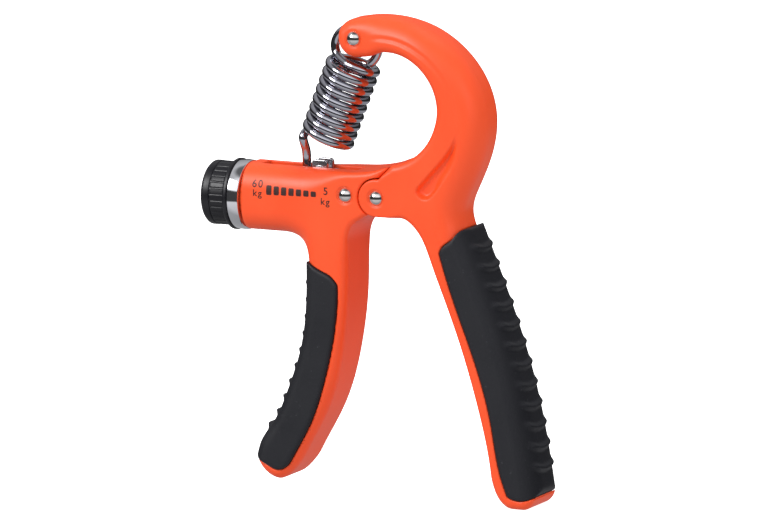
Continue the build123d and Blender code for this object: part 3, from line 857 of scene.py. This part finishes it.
def screw_thread(look):
    """Threaded part of the lead screw: a helical groove with a pitch of 1 mm."""
    start, sides, step = RING_END + 0.5, 40, THREAD_PITCH / 10
    turn = lambda along, angle: (along / THREAD_PITCH - angle / (2 * math.pi)) % 1
    groove = lambda along, angle: -0.6 * np.abs(turn(along, angle) * 2 - 1)
    profile = [(along, SCREW_RADIUS) for along in np.arange(start, SCREW_TIP, step)]
    points, faces = turned(profile, sides, groove)
    return finish_mesh("screw_thread", along_x(points), faces, *look, ["lead_screw"], "adjuster")


def nut(x, y, z):
    """Square nut with two rounded cheeks that hold the cross pin."""
    body = np.maximum(np.maximum(between(x, NUT_AT[0] - 4.4, NUT_AT[0] + 4.4), np.abs(y) - 4.55),
                      between(z, CHAMBER_LOW + 0.4, 0.5))
    body = both(body, -(np.hypot(y, z - AXIS_Z) - 3.0), 0.2)
    cheek = both(between(x, NUT_AT[0] - 2.7, NUT_AT[0] + 2.7), z - 9.5, 1.4)
    cheek = both(np.maximum(cheek, -z), between(np.abs(y), 1.6, 2.75), 0.25)
    return either(body, cheek, 0.3)


def carriage(look):
    low, high = (NUT_AT[0] - 5, -5, CHAMBER_LOW - 0.2), (NUT_AT[0] + 5, 5, 10)
    points, faces = skin(nut, low, high, NUT_CELL)
    piece = finish_mesh("nut_form", points, faces, *look, ["carriage_nut"], "nut")
    profile = soften([(-2.85, 0.05), (-2.85, 2.0), (2.85, 2.0), (2.85, 0.05)], 0.25)
    points, faces = turned(profile, 48)
    pin = finish_mesh("cross_pin", along_y(points, NUT_AT), faces, *look, ["nut_pin"], "nut")
    return piece, sharpen(pin, 40)


# Spring: one wire from its loop, round the coil and down to the hook

def spring_path():
    top, bottom = np.array(COIL_TOP), np.array(COIL_BOTTOM)
    down = (bottom - top) / np.linalg.norm(bottom - top)
    right = np.array([-down[1], down[0]])
    height = np.linalg.norm(bottom - top)
    centre, wide, high = (-10.9, 45.4), 7.4, 6.3
    ring = [(centre[0] + wide * math.cos(a), 0, centre[1] + high * math.sin(a))
            for a in np.radians(np.arange(-52, 200, 9))]
    cross = [(-15.2, -1.9, 41.3), (-11.2, -3.5, 39.8), (-7.4, -2.9, 38.4)]
    coil = []
    for turn in np.arange(0.06, COIL_TURNS - 0.05, 0.04):
        angle = turn * 2 * math.pi
        spot = top + down * height * turn / COIL_TURNS + right * COIL_RADIUS * math.cos(angle)
        coil.append((spot[0], COIL_RADIUS * math.sin(angle), spot[1]))
    level = NUT_AT[1] - 2.0 - 0.05 - WIRE + HOOK_BEND
    left = NUT_AT[0] - HOOK_BEND
    leg = [(left - 0.35, -2.0, 16.1), (left - 0.1, -0.9, 12.9), (left, -0.1, 9.9), (left, 0, level)]
    bend = [(NUT_AT[0] + HOOK_BEND * math.cos(a), 0, level + HOOK_BEND * math.sin(a))
            for a in np.radians(np.arange(190, 343, 8))]
    return ring, cross + coil + leg + bend


def spring(look):
    """One wire in two pieces that meet end to end."""
    ring, rest = spring_path()
    rings = wire_rings(smooth_run(ring + rest, gap=0.5), WIRE)
    down = np.array([NUT_AT[0] - HOOK_AT[0], 0, NUT_AT[1] - HOOK_AT[1]])
    top, bottom = np.array([COIL_TOP[0], 0, COIL_TOP[1]]), np.array([COIL_BOTTOM[0], 0, COIL_BOTTOM[1]])
    shared = blend(top, bottom, COIL_SHARE)
    past = (rings.mean(1) - shared) @ down > 0
    cut = len(past) - np.argmin(past[::-1])
    upper = finish_mesh("spring_upper", *tube(rings[:cut + 1]), *look, ["spring_loop", "spring_coil"])
    lower = finish_mesh("spring_lower", *tube(rings[cut:]), *look, ["spring_hook"])
    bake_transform(sharpen(upper, 50))
    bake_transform(sharpen(lower, 50))
    return upper, lower


# Scale printed on the barrel

def glyphs(text, height, x, z):
    """Outlined letters as a flat mesh in X and Z, cut into strips so that they can follow a curve."""
    curve = bpy.data.curves.new("scale_" + text, "FONT")
    curve.body, curve.size, curve.align_x, curve.offset = text, height / 0.7, "CENTER", 0.03
    curve.space_character = 1.25
    holder = bpy.data.objects.new("scale_holder", curve)
    bpy.context.scene.collection.objects.link(holder)
    mesh = bpy.data.meshes.new_from_object(holder.evaluated_get(bpy.context.evaluated_depsgraph_get()))
    bpy.data.objects.remove(holder)
    made = bmesh.new()
    made.from_mesh(mesh)
    for level in np.arange(-height, 1.5 * height, 0.3):
        bmesh.ops.bisect_plane(made, geom=made.verts[:] + made.edges[:] + made.faces[:],
                               plane_co=(0, level, 0), plane_no=(0, 1, 0))
    bmesh.ops.triangulate(made, faces=made.faces)
    points = [(x + v.co.x, z + v.co.y) for v in made.verts]
    faces = [tuple(v.index for v in f.verts) for f in made.faces]
    made.free()
    return points, faces


def bar(x, z, width, height):
    """An upright mark with rounded corners, in strips."""
    rows = np.linspace(-height / 2, height / 2, 9)
    points, faces = [], []
    for row in rows:
        pull = 0.22 * smoothstep(np.abs(row) - height / 2, -0.3, 0.0)
        points += [(x - width / 2 + pull, z + row), (x + width / 2 - pull, z + row)]
    for i in range(len(rows) - 1):
        faces.append((2 * i, 2 * i + 1, 2 * i + 3, 2 * i + 2))
    return points, faces


def scale_print(look):
    """Weights from 60 to 5 kg and seven shrinking marks, laid on the barrel's front."""
    parts = [glyphs("60", 2.3, -40.4, 0.7), glyphs("kg", 2.1, -40.4, -2.1),
             glyphs("5", 2.3, -16.9, 0.0), glyphs("kg", 2.1, -17.1, -3.2)]
    for i in range(7):
        parts.append(bar(-36.4 + 2.55 * i, 0.05 - 0.03 * i, 1.8, blend(3.0, 1.7, i / 6)))
    points, faces = [], []
    for flat, cells_used in parts:
        faces += [tuple(n + len(points) for n in face) for face in cells_used]
        points += flat
    x, z = np.array(points).T
    y = np.full(len(x), -HALF_THICK)
    for _ in range(12):
        y = y + front_arm(x, y, z)
    raised = np.stack([x, y - 0.05, z], 1)
    return finish_mesh("scale_print", raised, faces, *look, [], "front")


# Everything on the object

def build_object():
    orange, rubber, plastic = orange_plastic(), black_rubber(), black_plastic()
    metal, pale = metals(), nylon()
    steel = (metal["rivet_steel"], "rivet_steel")
    zinc = (metal["zinc_steel"], "zinc_steel")
    dark = (plastic, "black_plastic")
    moulding("rear_arm", rear_arm, rear_outline(), 10.9, ARM_CELL, (orange, "orange_plastic"), "rear")
    moulding("rear_grip", rear_grip, rear_grip_outline(), 11.6, GRIP_CELL, (rubber, "black_rubber"), "rear")
    front = front_outline()
    front = np.maximum(front, (BARREL_END - 1, FOOT))
    moulding("front_arm", front_arm, front, 10.9, ARM_CELL, (orange, "orange_plastic"), "front")
    moulding("front_grip", front_grip, front_grip_outline(), 11.6, GRIP_CELL, (rubber, "black_rubber"),
             "front")
    for name, at, half, body in (("hook_rivet", HOOK_AT, HOOK_HALF_THICK, "rear"),
                                 ("pivot_rivet", PIVOT_AT, HALF_THICK, "rear"),
                                 ("bearing_rivet", BEARING_AT, HALF_THICK, "front")):
        rivet_head(at, half, name + "_front", name + "_pin", -1, steel, body)
        rivet_head(at, half, name + "_back", name + "_tube", 1, steel, body)
    knob(dark)
    knob_cover(dark)
    trim_ring((metal["chrome_trim"], "chrome_trim"))
    screw_thread(zinc)
    carriage(zinc)
    spring((metal["spring_steel"], "spring_steel"))
    scale_print((scale_ink(), "orange_plastic"))
    for name, look in (("pivot_washers", pale), ("pivot_bush", pale), ("end_bearing", pale),
                       ("thrust_washer", pale), ("barrel_plug", plastic),
                       ("hook_sleeve", metal["zinc_steel"]), ("retaining_clip", metal["zinc_steel"])):
        frame["nodes"][name].material_slots[0].material = look


# Light, floor and camera

AMBIENT = 0.7
# Greys that shiny surfaces see, from straight down (0) to straight up (1)
SOFTBOX_BANDS = [(0.0, 0.45), (0.34, 0.68), (0.37, 0.05), (0.62, 0.05), (0.66, 1.15), (0.92, 1.0),
                 (0.95, 0.12)]
WALL_BANDS = [(0.0, 0.30), (0.35, 0.45), (0.39, 0.03), (0.60, 0.03), (0.68, 0.30), (0.92, 0.5),
              (0.96, 0.12)]


def area_light(name, place, aim, size, power, glossy=True):
    light = bpy.data.lights.new(name, "AREA")
    light.shape, light.size, light.size_y = "RECTANGLE", size[0], size[1]
    light.energy = power
    holder = bpy.data.objects.new(name, light)
    bpy.context.scene.collection.objects.link(holder)
    holder.visible_glossy = glossy
    holder.location = place
    holder.rotation_euler = (Vector(aim) - Vector(place)).to_track_quat("-Z", "Y").to_euler()


def sky(new, links, place):
    """What shiny surfaces see: a softbox in front, a dark strip at eye level, a dark ceiling,
    grey walls and pale ground."""
    split, height, bands, walls = new("SeparateXYZ"), new("MapRange"), new("ValToRGB"), new("ValToRGB")
    front, reach, mix = new("VectorMath"), new("MapRange"), new("MixRGB")
    height.inputs["From Min"].default_value = -1
    for ramped, stops in ((bands, SOFTBOX_BANDS), (walls, WALL_BANDS)):
        elements = ramped.color_ramp.elements
        while len(elements) < len(stops):
            elements.new(0.5)
        for element, (at, grey) in zip(elements, stops):
            element.position, element.color = at, (grey, grey, grey * 1.04, 1)
        links.new(height.outputs["Result"], ramped.inputs["Fac"])
    front.operation = "DOT_PRODUCT"
    front.inputs[1].default_value = (0.15, -0.99, 0)
    reach.inputs["From Min"].default_value, reach.inputs["From Max"].default_value = 0.35, 0.6
    links.new(place.outputs["Generated"], split.inputs["Vector"])
    links.new(split.outputs["Z"], height.inputs["Value"])
    links.new(place.outputs["Generated"], front.inputs[0])
    links.new(front.outputs["Value"], reach.inputs["Value"])
    links.new(reach.outputs["Result"], mix.inputs["Fac"])
    links.new(walls.outputs["Color"], mix.inputs["Color1"])
    links.new(bands.outputs["Color"], mix.inputs["Color2"])
    return mix


def white_room():
    """A white room: shiny surfaces see sky(), and everything else is lit evenly."""
    world = bpy.data.worlds.new("room")
    bpy.context.scene.world = world
    world.use_nodes = True
    nodes, links = world.node_tree.nodes, world.node_tree.links
    nodes.clear()
    new = lambda kind: nodes.new("ShaderNode" + kind)
    place = new("TexCoord")
    seen, even, plain = new("Background"), new("Background"), new("Background")
    even.inputs["Color"].default_value = plain.inputs["Color"].default_value = (1, 1, 1, 1)
    even.inputs["Strength"].default_value = AMBIENT
    shiny, straight, path, output = new("MixShader"), new("MixShader"), new("LightPath"), new("OutputWorld")
    links.new(sky(new, links, place).outputs["Color"], seen.inputs["Color"])
    links.new(path.outputs["Is Glossy Ray"], shiny.inputs["Fac"])
    links.new(even.outputs["Background"], shiny.inputs[1])
    links.new(seen.outputs["Background"], shiny.inputs[2])
    links.new(path.outputs["Is Camera Ray"], straight.inputs["Fac"])
    links.new(shiny.outputs["Shader"], straight.inputs[1])
    links.new(plain.outputs["Background"], straight.inputs[2])
    links.new(straight.outputs["Shader"], output.inputs["Surface"])


def white_floor():
    mesh = bpy.data.meshes.new("floor")
    corners = [on_circle((0, 0), 4.0, a) for a in range(0, 360, 10)]
    mesh.from_pydata([(x, y, 0) for x, y in corners], [], [tuple(range(len(corners)))])
    floor = bpy.data.objects.new("floor", mesh)
    bpy.context.scene.collection.objects.link(floor)
    paper = material("paper", (0.9, 0.9, 0.9), 0, 0.9)
    shader = paper.node_tree.nodes["Principled BSDF"]
    shader.inputs["Emission Color"].default_value = (1, 1, 1, 1)
    shader.inputs["Emission Strength"].default_value = 1.0
    mesh.materials.append(paper)
    floor.visible_diffuse = floor.visible_glossy = False


def camera():
    turn, lift = math.radians(25), math.radians(10)
    right = Vector((math.cos(turn), math.sin(turn), 0))
    back = Vector((math.sin(turn) * math.cos(lift), -math.cos(turn) * math.cos(lift), math.sin(lift)))
    up = back.cross(right)
    aim = Vector(PIVOT * MM) + (right * -1.43 + up * -19.3) * MM
    lens = bpy.data.cameras.new("camera")
    lens.lens, lens.sensor_width = 604.7, 36
    eye = bpy.data.objects.new("camera", lens)
    bpy.context.scene.collection.objects.link(eye)
    eye.location = aim + back * 4.0
    eye.rotation_euler = (-back).to_track_quat("-Z", "Y").to_euler()
    bpy.context.scene.camera = eye


build_object()
white_room()
white_floor()
area_light("key", (-1.1, -1.5, 1.3), (0, 0, 0.08), (1.0, 1.0), 29)
area_light("fill", (1.4, -1.0, 0.4), (0, 0, 0.08), (0.8, 0.8), 7, glossy=False)
area_light("top", (0.1, 0.25, 1.4), (0, 0, 0.1), (0.8, 0.6), 6, glossy=False)
camera()
bpy.context.scene.view_settings.view_transform = "Standard"
